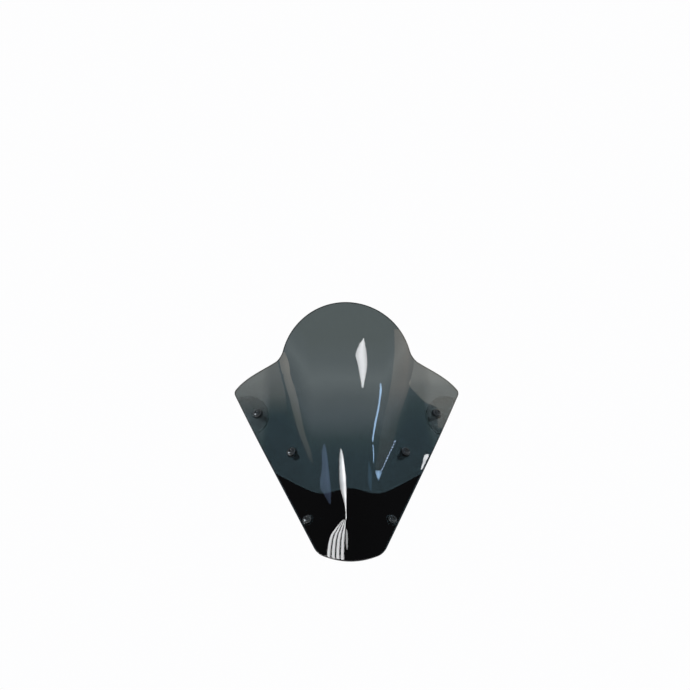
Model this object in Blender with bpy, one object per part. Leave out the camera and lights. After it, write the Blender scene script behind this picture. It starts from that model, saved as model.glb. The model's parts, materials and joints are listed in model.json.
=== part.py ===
"""Double-bubble windscreen for a sports motorcycle, with the hardware that holds it to the fairing.

Front is -Y, up is +Z, and the screen is symmetric about X = 0. Left and right are the rider's, who
looks along -Y, so left is +X. The screen is one thermoformed sheet: a face given by depth(x, z), cut to
an outline that is drawn as seen from the front. Everything behind that face is an offset of it.
"""

import bmesh
import bpy
from math import cos, hypot, pi, sin, sqrt, tau
from mathutils import Vector

# ---- The sheet -----------------------------------------------------------------------------------
THICKNESS = 0.003
HEIGHT = 0.3312         # bottom of the nose to the top of the bubble
GAP = 0.00035           # free space kept between pieces that touch
GRID = 0.0085           # spacing of the sheet's mesh
WELD = 2e-5             # points closer than this are one
SHARP_ANGLE = 0.6       # edges sharper than this, in radians, stay sharp when shaded

# The outline as seen from the front, on the side x > 0
NOSE_CORNER = (0.0435, 0.0095)
SIDE_KINK = (0.1188, 0.156)
WING_TIP = (0.1465, 0.2135)
WING_BULGE = 0.0038     # how far the wing's top edge bows out of its chord, a third of the way in
DOME_RADIUS = 0.0855
DOME_CENTRE = HEIGHT - DOME_RADIUS
NECK = (0.0845, 0.2585)  # where the wing's top edge meets the dome
NOSE_CUT = 0.007        # how far each corner's rounding starts from it
KINK_CUT = 0.030
TIP_CUT = 0.004
NECK_CUT = 0.0095
CORNER_PULL = 0.55      # handles of a rounded corner's curve, as a share of its cut

# The face's slope along the centre line, dy/dz, at the bottom, at KNEE of the height, and at the top
SLOPE_BOTTOM = 0.62
SLOPE_KNEE = 0.76
SLOPE_TOP = 1.20
KNEE = 0.45

# How the face sweeps back to its sides, as a hyperbola rounded over NOSE_ROUND
WING_SWEEP = 0.72
NOSE_ROUND = 0.045
BUBBLE_SWEEP = 0.28
BUBBLE_ROUND = 0.060

# The two flutes beside the bubble: walls between an inner and an outer crease, from a point up to the neck
FLUTE_FOOT = (0.0330, 0.104)
FLUTE_RISE = 0.152
FLUTE_END = 1.2         # the creases stop spreading at this share of the rise
BUBBLE_FOOT = 0.0832    # height at which the bubble starts to stand out of the sides
INNER_SPREAD = 0.027    # how far the inner crease leans out over the rise, above INNER_KNEE of it
INNER_KNEE = 0.3
INNER_ROUND = 0.1
OUTER_SPREAD = 0.049
FLUTE_MIN_WIDTH = 0.004
OUTER_BEND = 0.35       # how much the outer crease bends towards upright on its way up
CREASE_SHARE = 0.20     # the share of a wall's width that is rounded into each crease

# ---- What is behind the sheet --------------------------------------------------------------------
MASK_THICKNESS = 0.0005
MASK_INSET = 0.0015
WAVE_DIP_X = 0.036      # where the mask's top edge is lowest
WAVE_DIP_Z = 0.086
WAVE_CREST = 0.0072     # how much higher it is on the centre line
WAVE_SLOPE = 0.55
WAVE_ROUND = 0.015

GASKET_WIDTH = 0.0075
GASKET_THICKNESS = 0.002
GASKET_INSET = 0.0025
GASKET_FROM, GASKET_TO = 0.064, 0.101

PAD_THICKNESS = 0.003
PAD_FROM, PAD_TO = 0.158, 0.207
PAD_REACH = 0.0285      # how far the pad's round inner side reaches in from the wing's edge

SEAT_HALF_WIDTH = 0.024
SEAT_FROM, SEAT_TO = 0.006, 0.026
SEAT_DEPTH = 0.010      # from the screen's face to the flat back of the nose seat
SEAT_GRID = 0.008

# ---- Fasteners: button-head screw, nylon washer, rubber well nut with a brass insert ---------------
FASTENERS = {"upper": (0.1160, 0.187), "middle": (0.0736, 0.138), "lower": (0.0545, 0.052)}
SIDES = {"left": 1, "right": -1}
HOLE_RADIUS = 0.004
CLEAR_RADIUS = 0.0076   # the hole left in the mask and the pads round a well nut's flange
CUTTER_REACH = 0.02     # how far a hole's cutter reaches to either side of the face
WASHER_RADIUS, WASHER_BORE, WASHER_THICKNESS = 0.006, 0.0028, 0.001
HEAD_RADIUS, HEAD_HEIGHT, HEAD_CROWN = 0.00475, 0.00275, 0.0022
SOCKET_ACROSS, SOCKET_DEPTH = 0.003, 0.0017
SHANK_RADIUS, SHANK_LENGTH, SHANK_CHAMFER = 0.0024, 0.020, 0.0006
FLANGE_RADIUS, FLANGE_THICKNESS = 0.007, 0.0015
BODY_RADIUS, BODY_LENGTH = 0.00475, 0.012
NUT_BORE = 0.0029
INSERT_RADIUS, INSERT_LENGTH, INSERT_BORE = 0.0034, 0.006, 0.00265
ROUND_SEGMENTS = 16


# ---- The face --------------------------------------------------------------------------------------
def centre_line(z):
    """How far back the face is on the centre line, from the integral of its slope."""
    share = z / HEIGHT
    bend = ((SLOPE_TOP - SLOPE_BOTTOM) * KNEE - (SLOPE_KNEE - SLOPE_BOTTOM)) / (KNEE - KNEE * KNEE)
    tilt = SLOPE_TOP - SLOPE_BOTTOM - bend
    return HEIGHT * (SLOPE_BOTTOM * share + tilt * share**2 / 2 + bend * share**3 / 3)


def sweep(x, amount, rounding):
    return amount * (hypot(x, rounding) - rounding)


def eased(t):
    """0 to 1 with rounded ends and a straight middle."""
    t = min(max(t, 0.0), 1.0)
    if t > 0.5:
        return 1 - eased(1 - t)
    slope = 1 / (1 - CREASE_SHARE)
    if t < CREASE_SHARE:
        return slope * t * t / (2 * CREASE_SHARE)
    return slope * (t - CREASE_SHARE / 2)


def creases(z):
    """x of the inner and the outer crease of a flute at height z."""
    t = min(max((z - FLUTE_FOOT[1]) / FLUTE_RISE, 0.0), FLUTE_END)
    lean = t - INNER_KNEE
    inner = FLUTE_FOOT[0] + INNER_SPREAD * (lean + hypot(lean, INNER_ROUND)) / 2
    outer = FLUTE_FOOT[0] + FLUTE_MIN_WIDTH + OUTER_SPREAD * t * (1 + OUTER_BEND * (1 - t) * 2)
    return inner, outer


def depth(x, z):
    """How far back the screen's outer face is at x, z."""
    x = abs(x)
    wing = sweep(x, WING_SWEEP, NOSE_ROUND)
    bubble = sweep(x, BUBBLE_SWEEP, BUBBLE_ROUND)
    inner, outer = creases(z)
    on_bubble = 1 - eased((x - inner) / (outer - inner))
    risen = eased((z - BUBBLE_FOOT) / FLUTE_RISE)
    return centre_line(z) + wing - (wing - bubble) * on_bubble * risen


def face_point(x, z):
    return Vector((x, depth(x, z), z))


def face_normal(x, z, step=0.0004):
    """The face's outward normal, towards the front."""
    along_x = (depth(x + step, z) - depth(x - step, z)) / (2 * step)
    along_z = (depth(x, z + step) - depth(x, z - step)) / (2 * step)
    return Vector((along_x, -1, along_z)).normalized()


def behind(x, z, distance):
    return face_point(x, z) - distance * face_normal(x, z)


# ---- Outlines, as seen from the front ---------------------------------------------------------------
def line(start, end, count):
    return [Vector(start).lerp(Vector(end), i / count) for i in range(count + 1)]


def bowed(start, end, bulge, count):
    """A line from start to end that bows out to the right of its chord, most at a third of its length."""
    start, end = Vector(start), Vector(end)
    chord = end - start
    right = Vector((chord.y, -chord.x)).normalized()
    shares = [i / count for i in range(count + 1)]
    peak = 4 / 27  # of t (1 - t)^2, at t = 1/3
    return [start + t * chord + bulge / peak * t * (1 - t) ** 2 * right for t in shares]


def dome_arc(count):
    first = Vector((NECK[0], NECK[1] - DOME_CENTRE))
    angle = first.angle(Vector((1, 0)))
    turns = [angle + (pi / 2 - angle) * i / count for i in range(count + 1)]
    return [Vector((DOME_RADIUS * cos(t), DOME_CENTRE + DOME_RADIUS * sin(t))) for t in turns]


def shortened(path, cut):
    """The path without its first stretch of length cut."""
    path = list(path)
    while cut > 0:
        step = (path[1] - path[0]).length
        if step > cut:
            path[0] = path[0].lerp(path[1], cut / step)
            return path
        cut -= step
        path.pop(0)
    return path


def joined(before, after, cut, count=6):
    """Two paths that meet at a corner, with the corner rounded over a length of cut on each."""
    before = shortened(before[::-1], cut)[::-1]
    after = shortened(after, cut)
    start, end = before[-1], after[0]
    pull = CORNER_PULL * cut
    leave = start + pull * (before[-1] - before[-2]).normalized()
    arrive = end + pull * (after[0] - after[1]).normalized()
    turn = []
    for i in range(1, count):
        t = i / count
        s = 1 - t
        turn.append(s**3 * start + 3 * s * s * t * leave + 3 * s * t * t * arrive + t**3 * end)
    return before + turn + after


def half_outline():
    """From the bottom of the nose, up the side x > 0, to the top of the bubble."""
    nose = [Vector((NOSE_CORNER[0] * i / 8, NOSE_CORNER[1] * (i / 8) ** 2)) for i in range(9)]
    path = joined(nose, line(NOSE_CORNER, SIDE_KINK, 16), NOSE_CUT)
    path = joined(path, line(SIDE_KINK, WING_TIP, 8), KINK_CUT)
    path = joined(path, bowed(WING_TIP, NECK, WING_BULGE, 12), TIP_CUT)
    return joined(path, dome_arc(16), NECK_CUT)


def inset(path, distance):
    """The path moved to its left, into the screen."""
    moved = []
    for i, point in enumerate(path):
        run = path[min(i + 1, len(path) - 1)] - path[max(i - 1, 0)]
        moved.append(point + distance * Vector((-run.y, run.x)).normalized())
    return moved


def between(path, low, high):
    return [p for p in path if low <= p.y <= high]


def side_edge():
    """The outline's side, from the middle of the nose to the wing tip, with a point every 3 mm."""
    path = line(NOSE_CORNER, SIDE_KINK, 54)
    nose = [Vector((NOSE_CORNER[0] * i / 12, NOSE_CORNER[1] * (i / 12) ** 2)) for i in range(13)]
    return joined(joined(nose, path, NOSE_CUT), line(SIDE_KINK, WING_TIP, 21), KINK_CUT)


def wave(x):
    """Height of the mask's top edge."""
    x = abs(x)
    if x < WAVE_DIP_X:
        return WAVE_DIP_Z + WAVE_CREST * (1 + cos(pi * x / WAVE_DIP_X)) / 2
    return WAVE_DIP_Z + WAVE_SLOPE * (hypot(x - WAVE_DIP_X, WAVE_ROUND) - WAVE_ROUND)


def both_sides(half):
    """A closed outline from its half at x >= 0, which starts and ends at x = 0."""
    return half + [Vector((-p.x, p.y)) for p in half[-2:0:-1]]


def mask_half():
    """From the bottom of the mask, up its side, and along its wavy top back to the middle."""
    side = [p for p in inset(side_edge(), MASK_INSET) if p.y < wave(p.x)]
    side[0].x = 0
    reach = side[-1].x
    top = [Vector((reach * (1 - i / 24), wave(reach * (1 - i / 24)))) for i in range(1, 25)]
    return side + top


def gasket_outline():
    outer = between(inset(side_edge(), GASKET_INSET), GASKET_FROM, GASKET_TO)
    inner = between(inset(side_edge(), GASKET_INSET + GASKET_WIDTH), GASKET_FROM, GASKET_TO)
    return outer + inner[::-1]


def pad_outline():
    """A wing tip's pad: straight along the wing's edge, round towards the middle."""
    edge = between(inset(side_edge(), MASK_INSET), PAD_FROM, PAD_TO)
    start, end = edge[0], edge[-1]
    middle, half = (start + end) / 2, (end - start) / 2
    inwards = Vector((-half.y, half.x)).normalized() * PAD_REACH
    turns = [pi * i / 14 for i in range(1, 14)]
    return edge + [middle + cos(t) * half + sin(t) * inwards for t in turns]


# ---- Solids ------------------------------------------------------------------------------------------
def object_of(name, bm, material, parent):
    bmesh.ops.recalc_face_normals(bm, faces=bm.faces)
    mesh = bpy.data.meshes.new(name)
    bm.to_mesh(mesh)
    bm.free()
    mesh.materials.append(material)
    mesh.shade_smooth()
    mesh.set_sharp_from_angle(angle=SHARP_ANGLE)
    made = bpy.data.objects.new(name, mesh)
    bpy.context.scene.collection.objects.link(made)
    made.parent = parent
    return made


def gridded(outline, spacing):
    """A flat mesh of an outline, cut into a grid. Its x and z are the points' x and y."""
    bm = bmesh.new()
    bm.faces.new([bm.verts.new((p.x, p.y, 0)) for p in outline])
    for axis, values in (("x", [p.x for p in outline]), ("y", [p.y for p in outline])):
        across = Vector((axis == "x", axis == "y", 0))
        for i in range(int(min(values) / spacing) - 1, int(max(values) / spacing) + 2):
            geom = bm.verts[:] + bm.edges[:] + bm.faces[:]
            bmesh.ops.bisect_plane(bm, geom=geom, dist=1e-6, plane_co=across * i * spacing, plane_no=across)
    bmesh.ops.remove_doubles(bm, verts=bm.verts, dist=WELD)
    bmesh.ops.dissolve_degenerate(bm, edges=bm.edges, dist=WELD)
    bmesh.ops.triangulate(bm, faces=bm.faces)
    return bm


def sheet(outline, near, back_point, spacing=GRID):
    """A closed sheet from near behind the face to where back_point(x, z) puts its back."""
    bm = gridded(outline, spacing)
    flat = {v: (v.co.x, v.co.y) for v in bm.verts}
    front_faces = bm.faces[:]
    copied = bmesh.ops.duplicate(bm, geom=bm.verts[:] + bm.edges[:] + front_faces)
    rim = []
    for old, new in copied["vert_map"].items():
        if old in flat:
            new.co = back_point(*flat[old])
            old.co = behind(*flat[old], near)
    for old, new in copied["edge_map"].items():
        if old.is_boundary and new.is_boundary and old.verts[0] in flat:
            rim += [old, new]
    bmesh.ops.bridge_loops(bm, edges=list(dict.fromkeys(rim)))
    bmesh.ops.triangulate(bm, faces=bm.faces)
    return bm


def lathed(profile):
    """A profile of (radius, height) turned about Z: from axis to axis, or a closed loop."""
    bm = bmesh.new()
    points = [bm.verts.new((r, 0, z)) for r, z in profile]
    edges = [bm.edges.new(pair) for pair in zip(points, points[1:])]
    if profile[0][0] > 0:
        edges.append(bm.edges.new((points[-1], points[0])))
    bmesh.ops.spin(bm, geom=points + edges, cent=(0, 0, 0), axis=(0, 0, 1), angle=tau,
                   steps=ROUND_SEGMENTS, use_merge=True)
    bmesh.ops.remove_doubles(bm, verts=bm.verts, dist=1e-6)
    return bm


def cutter(name, radius, segments, parent, low=-CUTTER_REACH, high=CUTTER_REACH):
    """A hidden cylinder that cuts a hole."""
    bm = bmesh.new()
    bmesh.ops.create_cone(bm, cap_ends=True, segments=segments, radius1=radius, radius2=radius,
                          depth=high - low)
    bmesh.ops.translate(bm, verts=bm.verts, vec=(0, 0, (high + low) / 2))
    made = object_of(name, bm, None, parent)
    made.hide_render = True
    made.display_type = "WIRE"
    return made


def cut(target, tool):
    modifier = target.modifiers.new(tool.name, "BOOLEAN")
    modifier.operation = "DIFFERENCE"
    modifier.object = tool


def place(obj, x, z):
    """Puts an object's Z axis on the face's normal at x, z, pointing out of the screen."""
    obj.location = face_point(x, z)
    obj.rotation_mode = "QUATERNION"
    obj.rotation_quaternion = face_normal(x, z).to_track_quat("Z", "Y")


def material(name, colour, roughness, metallic=0.0, alpha=1.0):
    made = bpy.data.materials.new(name)
    made.use_nodes = True
    shader = made.node_tree.nodes["Principled BSDF"]
    shader.inputs["Base Color"].default_value = (*colour, 1)
    shader.inputs["Roughness"].default_value = roughness
    shader.inputs["Metallic"].default_value = metallic
    shader.inputs["Alpha"].default_value = alpha
    return made


# ---- The object ----------------------------------------------------------------------------------------
def make_sheet_pieces(root):
    """The screen and everything that lies on its back."""
    smoke = material("smoked_acrylic", (0.05, 0.06, 0.06), 0.05, alpha=0.8)
    black = material("black_film", (0.004, 0.004, 0.004), 0.3)
    foam = material("grey_foam", (0.35, 0.36, 0.36), 0.9)
    rubber = material("rubber", (0.02, 0.02, 0.02), 0.75)

    def back(distance):
        return lambda x, z: behind(x, z, distance)

    on_back = THICKNESS + GAP
    on_mask = on_back + MASK_THICKNESS + GAP
    outline = both_sides(half_outline())
    pieces = {"screen_panel": object_of("screen_panel", sheet(outline, 0, back(THICKNESS)), smoke, root)}
    mask_back = back(on_back + MASK_THICKNESS)
    mask = sheet(both_sides(mask_half()), on_back, mask_back)
    pieces["blackout_mask"] = object_of("blackout_mask", mask, black, root)
    for side, sign in SIDES.items():
        strip = [Vector((sign * p.x, p.y)) for p in gasket_outline()]
        pad = [Vector((sign * p.x, p.y)) for p in pad_outline()]
        strip_sheet = sheet(strip, on_mask, back(on_mask + GASKET_THICKNESS))
        object_of(f"edge_gasket_{side}", strip_sheet, rubber, root)
        pad_sheet = sheet(pad, on_back, back(on_back + PAD_THICKNESS))
        pieces[f"wing_pad_{side}"] = object_of(f"wing_pad_{side}", pad_sheet, foam, root)
    object_of("nose_seat", nose_seat_mesh(), rubber, root)
    return pieces


def seat_plane():
    """The centre and the outward normal of the nose seat's flat back."""
    height = (SEAT_FROM + SEAT_TO) / 2
    return behind(0, height, SEAT_DEPTH), -face_normal(0, height)


def nose_seat_mesh():
    """A rubber block whose front follows the mask and whose back is flat."""
    near = THICKNESS + MASK_THICKNESS + 2 * GAP
    centre, normal = seat_plane()

    def back(x, z):
        front = behind(x, z, near)
        return front + (centre - front).dot(normal) * normal

    corners = [(-SEAT_HALF_WIDTH, SEAT_FROM), (SEAT_HALF_WIDTH, SEAT_FROM),
               (SEAT_HALF_WIDTH, SEAT_TO), (-SEAT_HALF_WIDTH, SEAT_TO)]
    return sheet([Vector(c) for c in corners], near, back, SEAT_GRID)


def screw_profile():
    """Button head on a plain shank, from the tip up to the crown. The washer's face is at height 0."""
    crown = [(HEAD_RADIUS * cos(t), HEAD_HEIGHT - HEAD_CROWN + HEAD_CROWN * sin(t))
             for t in (pi / 8 * i for i in range(4))]
    tip = -SHANK_LENGTH
    shank = [(0, tip), (SHANK_RADIUS - SHANK_CHAMFER, tip), (SHANK_RADIUS, tip + SHANK_CHAMFER),
             (SHANK_RADIUS, 0)]
    return shank + [(HEAD_RADIUS, 0)] + crown + [(0, HEAD_HEIGHT)]


def ring(inner, outer, low, high):
    return [(inner, low), (outer, low), (outer, high), (inner, high)]


def screw_mesh(steel):
    """The screw with its hexagon socket cut."""
    blank = object_of("screw_blank", lathed(screw_profile()), steel, None)
    floor = HEAD_HEIGHT - SOCKET_DEPTH
    socket = cutter("socket_cutter", SOCKET_ACROSS / sqrt(3), 6, None, floor, 2 * HEAD_HEIGHT)
    cut(blank, socket)
    bpy.context.view_layer.update()
    graph = bpy.context.evaluated_depsgraph_get()
    mesh = bpy.data.meshes.new_from_object(blank.evaluated_get(graph), depsgraph=graph)
    mesh.name = "screw"
    bpy.data.objects.remove(blank)
    bpy.data.objects.remove(socket)
    return mesh


def well_nut_profile(face):
    """A flanged rubber sleeve: a plain bore in front, and behind it a wider pocket for the insert."""
    step = face - FLANGE_THICKNESS
    back = step - BODY_LENGTH
    pocket = INSERT_RADIUS + GAP
    shoulder = back + INSERT_LENGTH + 2 * GAP
    return [(pocket, back), (BODY_RADIUS, back), (BODY_RADIUS, step), (FLANGE_RADIUS, step),
            (FLANGE_RADIUS, face), (NUT_BORE, face), (NUT_BORE, shoulder), (pocket, shoulder)]


def make_fasteners(root, pieces):
    steel = material("black_steel", (0.03, 0.036, 0.04), 0.35, 0.5)
    nylon = material("black_nylon", (0.02, 0.02, 0.02), 0.5)
    rubber = material("well_nut_rubber", (0.55, 0.57, 0.57), 0.75)
    brass = material("brass", (0.75, 0.55, 0.25), 0.3, 1.0)
    washer_face = GAP + WASHER_THICKNESS
    flange_face = -THICKNESS - GAP
    insert_back = flange_face - FLANGE_THICKNESS - BODY_LENGTH + GAP
    screw = screw_mesh(steel)

    for level, (x, z) in FASTENERS.items():
        for side, sign in SIDES.items():
            name = f"{level}_{side}"
            washer = object_of(f"washer_{name}", lathed(ring(WASHER_BORE, WASHER_RADIUS, GAP, washer_face)),
                               nylon, root)
            nut = object_of(f"well_nut_{name}", lathed(well_nut_profile(flange_face)), rubber, root)
            insert_ring = ring(INSERT_BORE, INSERT_RADIUS, insert_back, insert_back + INSERT_LENGTH)
            insert = object_of(f"insert_{name}", lathed(insert_ring), brass, root)
            bolt = bpy.data.objects.new(f"screw_{name}", screw)
            bpy.context.scene.collection.objects.link(bolt)
            bolt.parent = root
            for piece in (washer, nut, insert, bolt):
                place(piece, sign * x, z)
            bolt.location += (washer_face + GAP) * face_normal(sign * x, z)

            hole = cutter(f"hole_{name}", HOLE_RADIUS, ROUND_SEGMENTS, root)
            place(hole, sign * x, z)
            cut(pieces["screen_panel"], hole)
            cleared = {"upper": f"wing_pad_{side}", "lower": "blackout_mask"}.get(level)
            if cleared:
                clear = cutter(f"clear_{name}", CLEAR_RADIUS, ROUND_SEGMENTS, root)
                place(clear, sign * x, z)
                cut(pieces[cleared], clear)


def main():
    for old in list(bpy.data.objects):
        bpy.data.objects.remove(old)
    root = bpy.data.objects.new("windscreen", None)
    root.location = -seat_plane()[0]
    bpy.context.scene.collection.objects.link(root)
    make_fasteners(root, make_sheet_pieces(root))


main()
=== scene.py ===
"""The looks of the windscreen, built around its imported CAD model.

Front is -Y, up is +Z, and the screen is symmetric about X = 0. The screen's face is given by depth(x, z),
and its outline is drawn as seen from the front. Both repeat the CAD model's design at a finer pitch, in
the sheet's own frame, whose origin is the bottom of the nose. SHIFT takes them to the model's frame.
"""

import json
from math import acos, cos, hypot, pi, radians, sin, sqrt, tau

import bmesh
import bpy
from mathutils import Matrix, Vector, geometry, kdtree


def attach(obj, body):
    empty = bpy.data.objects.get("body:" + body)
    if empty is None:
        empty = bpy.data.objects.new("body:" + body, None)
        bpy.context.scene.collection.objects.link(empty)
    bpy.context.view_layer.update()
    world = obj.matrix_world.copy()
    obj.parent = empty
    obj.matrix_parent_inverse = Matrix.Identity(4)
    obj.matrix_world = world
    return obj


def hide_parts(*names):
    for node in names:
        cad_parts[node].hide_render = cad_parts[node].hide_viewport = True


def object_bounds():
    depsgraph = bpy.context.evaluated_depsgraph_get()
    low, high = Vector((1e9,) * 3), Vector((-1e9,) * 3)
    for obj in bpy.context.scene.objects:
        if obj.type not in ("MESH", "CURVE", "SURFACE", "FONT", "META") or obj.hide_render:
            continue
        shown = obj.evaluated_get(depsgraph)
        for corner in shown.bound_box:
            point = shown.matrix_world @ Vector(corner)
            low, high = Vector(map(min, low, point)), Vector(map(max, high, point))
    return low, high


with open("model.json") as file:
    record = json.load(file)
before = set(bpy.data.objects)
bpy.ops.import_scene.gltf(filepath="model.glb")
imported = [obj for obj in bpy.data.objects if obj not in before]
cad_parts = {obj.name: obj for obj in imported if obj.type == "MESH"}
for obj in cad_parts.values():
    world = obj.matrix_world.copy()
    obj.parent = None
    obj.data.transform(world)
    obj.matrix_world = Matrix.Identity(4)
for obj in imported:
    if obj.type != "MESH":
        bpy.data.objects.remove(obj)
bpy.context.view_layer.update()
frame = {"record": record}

# ---- The sheet, as in the CAD model ----------------------
THICKNESS = 0.003
HEIGHT = 0.3312
GAP = 0.00035
NOSE_CORNER = (0.0435, 0.0095)
SIDE_KINK = (0.1188, 0.156)
WING_TIP = (0.1465, 0.2135)
WING_BULGE = 0.0038
DOME_RADIUS = 0.0855
DOME_CENTRE = HEIGHT - DOME_RADIUS
NECK = (0.0845, 0.2585)
NOSE_CUT, KINK_CUT, TIP_CUT, NECK_CUT, CORNER_PULL = 0.007, 0.030, 0.004, 0.0095, 0.55
SLOPE_BOTTOM, SLOPE_KNEE, SLOPE_TOP, KNEE = 0.62, 0.76, 1.20, 0.45
WING_SWEEP, NOSE_ROUND = 0.72, 0.045
BUBBLE_SWEEP, BUBBLE_ROUND = 0.28, 0.060
FLUTE_FOOT, FLUTE_RISE, FLUTE_END, BUBBLE_FOOT = (0.0330, 0.104), 0.152, 1.2, 0.0832
INNER_SPREAD, INNER_KNEE, INNER_ROUND = 0.027, 0.3, 0.1
OUTER_SPREAD, FLUTE_MIN_WIDTH, OUTER_BEND, CREASE_SHARE = 0.049, 0.004, 0.35, 0.20
SEAT_FROM, SEAT_TO, SEAT_DEPTH = 0.006, 0.026, 0.010
MASK_THICKNESS, MASK_INSET = 0.0005, 0.0015
WAVE_DIP_X, WAVE_DIP_Z, WAVE_CREST, WAVE_SLOPE, WAVE_ROUND = 0.036, 0.086, 0.0072, 0.55, 0.015
FASTENERS = {"upper": (0.1160, 0.187), "middle": (0.0736, 0.138), "lower": (0.0545, 0.052)}
SIDES = {"left": 1, "right": -1}
HOLE_RADIUS, CLEAR_RADIUS = 0.004, 0.0076
GASKET_WIDTH, GASKET_THICKNESS, GASKET_INSET = 0.0075, 0.002, 0.0025
GASKET_FROM, GASKET_TO = 0.064, 0.101
PAD_THICKNESS, PAD_FROM, PAD_TO, PAD_REACH = 0.003, 0.158, 0.207, 0.0285
SEAT_HALF_WIDTH = 0.024

# ---- The fasteners, as in the CAD model ------------------
WASHER_RADIUS, WASHER_BORE, WASHER_THICKNESS = 0.006, 0.0028, 0.001
HEAD_RADIUS, HEAD_HEIGHT, HEAD_CROWN = 0.00475, 0.00275, 0.0022
SOCKET_ACROSS, SOCKET_DEPTH = 0.003, 0.0017
SHANK_RADIUS, SHANK_LENGTH = 0.0024, 0.020
FLANGE_RADIUS, FLANGE_THICKNESS = 0.007, 0.0015
BODY_RADIUS, BODY_LENGTH = 0.00475, 0.012
NUT_BORE = 0.0029
INSERT_RADIUS, INSERT_LENGTH, INSERT_BORE = 0.0034, 0.006, 0.00265
THREAD_PITCH = 0.0008

# ---- The fine meshes -------------------------------------
PITCH, EDGE_PITCH = 0.0022, 0.002   # spacing within a sheet's outline and along it
GASKET_PITCH, GASKET_EDGE_PITCH = 0.001, 0.0008
SEAT_PITCH, SEAT_EDGE_PITCH = 0.0015, 0.001
FLUTE_SHARE, CLEAR_SHARE = 0.6, 0.7   # of the spacing, across a flute and next to an outline
HOLE_REACH = 0.03   # wider than any hole
EDGE_ROUND, FILM_ROUND, PAD_ROUND = 0.0012, 0.0002, 0.0006   # how far an edge bows out
GASKET_ROUND, SEAT_ROUND = 0.0007, 0.0008
GASKET_CUT, SEAT_CUT = 0.0016, 0.003   # how far a corner is cut back to round it
FILM_GAP, PAD_GAP = 0.00006, 0.00008   # between the screen's back and what is bonded to it
THREAD_SEGMENTS, THREAD_ROWS = 36, 12   # steps round a thread, and rings for each turn
THREAD_DEPTH = 0.00042
CREST_SHARE, FLANK_SHARE = 0.07, 0.31   # of the pitch: half the crest, and one flank
KNURL_DEPTH, HEXAGON_ROUND = 0.00022, 0.985

# ---- Colours, as shares of light -------------------------
TINT = [(0.0, (0.020, 0.034, 0.040)), (0.28, (0.021, 0.036, 0.043)), (0.39, (0.0232, 0.0404, 0.048)),
        (0.455, (0.0308, 0.0509, 0.0557)), (0.54, (0.0671, 0.0881, 0.0967)),
        (0.62, (0.0843, 0.1043, 0.1101)), (0.70, (0.116, 0.139, 0.143)),
        (0.76, (0.0976, 0.1186, 0.1225)), (0.85, (0.0919, 0.112, 0.112)), (1.0, (0.0938, 0.1148, 0.1148))]
# The dark part of the tint reaches further up beside the bubble, though not out to the wing tips
SIDE_TINT_RISE, SIDE_TINT_IN, SIDE_TINT_OUT = 0.050, (0.047, 0.080), (0.098, 0.110)
EDGE_TINT = [(0.0, (0.006, 0.010, 0.012)), (1.0, (0.016, 0.020, 0.021))]
HORIZON, ZENITH = (0.985, 0.985, 0.99), (0.080, 0.080, 0.086)
HORIZON_TOP, HORIZON_FADE = 9, 9      # degrees above the floor

# ---- Camera and floor ------------------------------------
CAMERA_TURN, CAMERA_RISE, CAMERA_DISTANCE = -1.35, 0.1, 16.0
CAMERA_ASIDE, CAMERA_UP = -0.0074, 0.2755   # from the bottom of the nose to the middle of the frame
FRAME_WIDTH, SENSOR_WIDTH = 0.881, 36   # metres at the screen, and millimetres
FLOOR_NEAR, FLOOR_FAR, FLOOR_GAP = 0.5, 2.6, 0.0002
FLOOR_SEGMENTS, FLOOR_RINGS, FLOOR_GROWTH = 96, 16, 1.35
GLOSS_GAP = 0.01    # from the screen's face to the lights that show on it


def centre_line(z):
    share = z / HEIGHT
    bend = ((SLOPE_TOP - SLOPE_BOTTOM) * KNEE - (SLOPE_KNEE - SLOPE_BOTTOM)) / (KNEE - KNEE * KNEE)
    tilt = SLOPE_TOP - SLOPE_BOTTOM - bend
    return HEIGHT * (SLOPE_BOTTOM * share + tilt * share**2 / 2 + bend * share**3 / 3)


def sweep(x, amount, rounding):
    return amount * (hypot(x, rounding) - rounding)


def eased(t):
    """0 to 1 with rounded ends and a straight middle."""
    t = min(max(t, 0.0), 1.0)
    if t > 0.5:
        return 1 - eased(1 - t)
    slope = 1 / (1 - CREASE_SHARE)
    if t < CREASE_SHARE:
        return slope * t * t / (2 * CREASE_SHARE)
    return slope * (t - CREASE_SHARE / 2)


def creases(z):
    """x of the inner and the outer crease of a flute at height z."""
    t = min(max((z - FLUTE_FOOT[1]) / FLUTE_RISE, 0.0), FLUTE_END)
    lean = t - INNER_KNEE
    inner = FLUTE_FOOT[0] + INNER_SPREAD * (lean + hypot(lean, INNER_ROUND)) / 2
    outer = FLUTE_FOOT[0] + FLUTE_MIN_WIDTH + OUTER_SPREAD * t * (1 + OUTER_BEND * (1 - t) * 2)
    return inner, outer


def depth(x, z):
    """How far back the screen's outer face is at x, z."""
    x = abs(x)
    wing = sweep(x, WING_SWEEP, NOSE_ROUND)
    bubble = sweep(x, BUBBLE_SWEEP, BUBBLE_ROUND)
    inner, outer = creases(z)
    on_bubble = 1 - eased((x - inner) / (outer - inner))
    risen = eased((z - BUBBLE_FOOT) / FLUTE_RISE)
    return centre_line(z) + wing - (wing - bubble) * on_bubble * risen


def face_normal(x, z, step=0.0004):
    """The face's outward normal, towards the front."""
    along_x = (depth(x + step, z) - depth(x - step, z)) / (2 * step)
    along_z = (depth(x, z + step) - depth(x, z - step)) / (2 * step)
    return Vector((along_x, -1, along_z)).normalized()


def seat_centre():
    height = (SEAT_FROM + SEAT_TO) / 2
    return Vector((0, depth(0, height), height)) - SEAT_DEPTH * face_normal(0, height)


SHIFT = -seat_centre()


def face_point(x, z):
    return Vector((x, depth(x, z), z)) + SHIFT


def behind(x, z, distance):
    return face_point(x, z) - distance * face_normal(x, z)


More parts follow.
